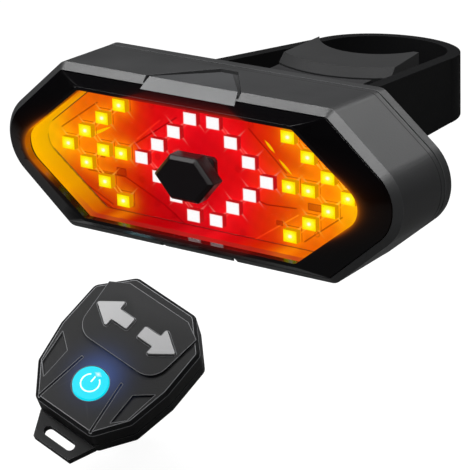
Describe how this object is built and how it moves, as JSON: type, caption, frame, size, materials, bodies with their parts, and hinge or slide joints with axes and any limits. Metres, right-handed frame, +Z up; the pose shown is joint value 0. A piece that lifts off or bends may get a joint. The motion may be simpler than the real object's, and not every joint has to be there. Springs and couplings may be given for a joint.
{
  "type": "bicycle turn signal light",
  "caption": "Rear bicycle lamp with turn arrows and a stop ring, on a rubber-strap seat post mount, with a handlebar remote.",
  "frame": {"origin": "on the seat post's axis at the lamp's mid height", "axes": "+Z up along the seat post, the lamp's window faces -Y, +X is to the viewer's right when facing the window"},
  "size_m": [0.177, 0.1264, 0.1534],
  "materials": {
    "casing": "satin moulded shell",
    "gloss_cover": "polished",
    "clear_window": "clear",
    "trim": "satin",
    "seal": "matte",
    "inner_plastic": "white, matte",
    "board": "solder resist",
    "light_package": "moulded",
    "electronics": "moulded",
    "metal": "stamped",
    "cell_wrap": "pouch foil",
    "button": "satin gloss",
    "rubber": "moulded, matte",
    "bracket": "moulded",
    "remote_shell": "fine grain",
    "key_silicone": "silicone",
    "power_key": "lit, frosted",
    "screw": "blackened"
  },
  "bodies": {
    "mount": {"strap_bracket": "bracket", "saddle_pad": "rubber", "rubber_strap": "rubber"},
    "lamp": {"front_housing": "casing", "rear_cover": "casing", "front_cover": "gloss_cover", "clear_lens": "clear_window", "light_surround": "inner_plastic", "top_trim": "trim", "bottom_trim": "trim", "housing_seal": "seal", "led_board": "board", "red_leds": "light_package", "left_amber_leds": "light_package", "right_amber_leds": "light_package", "board_chips": "electronics", "radio_module": "electronics", "mode_switch": "electronics", "usb_socket": "metal", "battery_cradle": "bracket", "battery_cell": "cell_wrap", "battery_pad": "seal", "case_screws": "screw"},
    "mode_button": {"mode_button": "button"},
    "usb_cover": {"usb_cover": "rubber"},
    "remote": {"remote_top_shell": "remote_shell", "remote_base": "remote_shell", "remote_seal": "seal", "remote_board": "board", "remote_switches": "electronics", "cell_clip": "metal", "coin_cell": "metal", "remote_screws": "screw", "remote_pad": "rubber", "remote_band": "rubber"},
    "left_arrow_button": {"left_arrow_button": "key_silicone"},
    "right_arrow_button": {"right_arrow_button": "key_silicone"},
    "power_button": {"power_button": "power_key"}
  },
  "joints": [
    {"name": "lamp_slide", "type": "slide", "parent": "mount", "child": "lamp", "axis": [0, 0, 1], "range_m": [0, 0.028]},
    {"name": "mode_button_press", "type": "slide", "parent": "lamp", "child": "mode_button", "axis": [0, 1, 0], "range_m": [0, 0.0005], "stiffness_N_per_m": 1500},
    {"name": "usb_cover_swing", "type": "hinge", "parent": "lamp", "child": "usb_cover", "pos_m": [0, -0.06785, -0.01905], "axis": [1, 0, 0], "range_deg": [0, 100]},
    {"name": "remote_on_bar", "type": "slide", "parent": "mount", "child": "remote", "axis": [0.9336, 0, -0.3584], "range_m": [-0.015, 0.015]},
    {"name": "left_arrow_press", "type": "slide", "parent": "remote", "child": "left_arrow_button", "axis": [-0.2899, 0.5878, -0.7553], "range_m": [0, 0.0005], "stiffness_N_per_m": 1200},
    {"name": "right_arrow_press", "type": "slide", "parent": "remote", "child": "right_arrow_button", "axis": [-0.2899, 0.5878, -0.7553], "range_m": [0, 0.0005], "stiffness_N_per_m": 1200},
    {"name": "power_button_press", "type": "slide", "parent": "remote", "child": "power_button", "axis": [-0.2899, 0.5878, -0.7553], "range_m": [0, 0.0005], "stiffness_N_per_m": 1200}
  ]
}
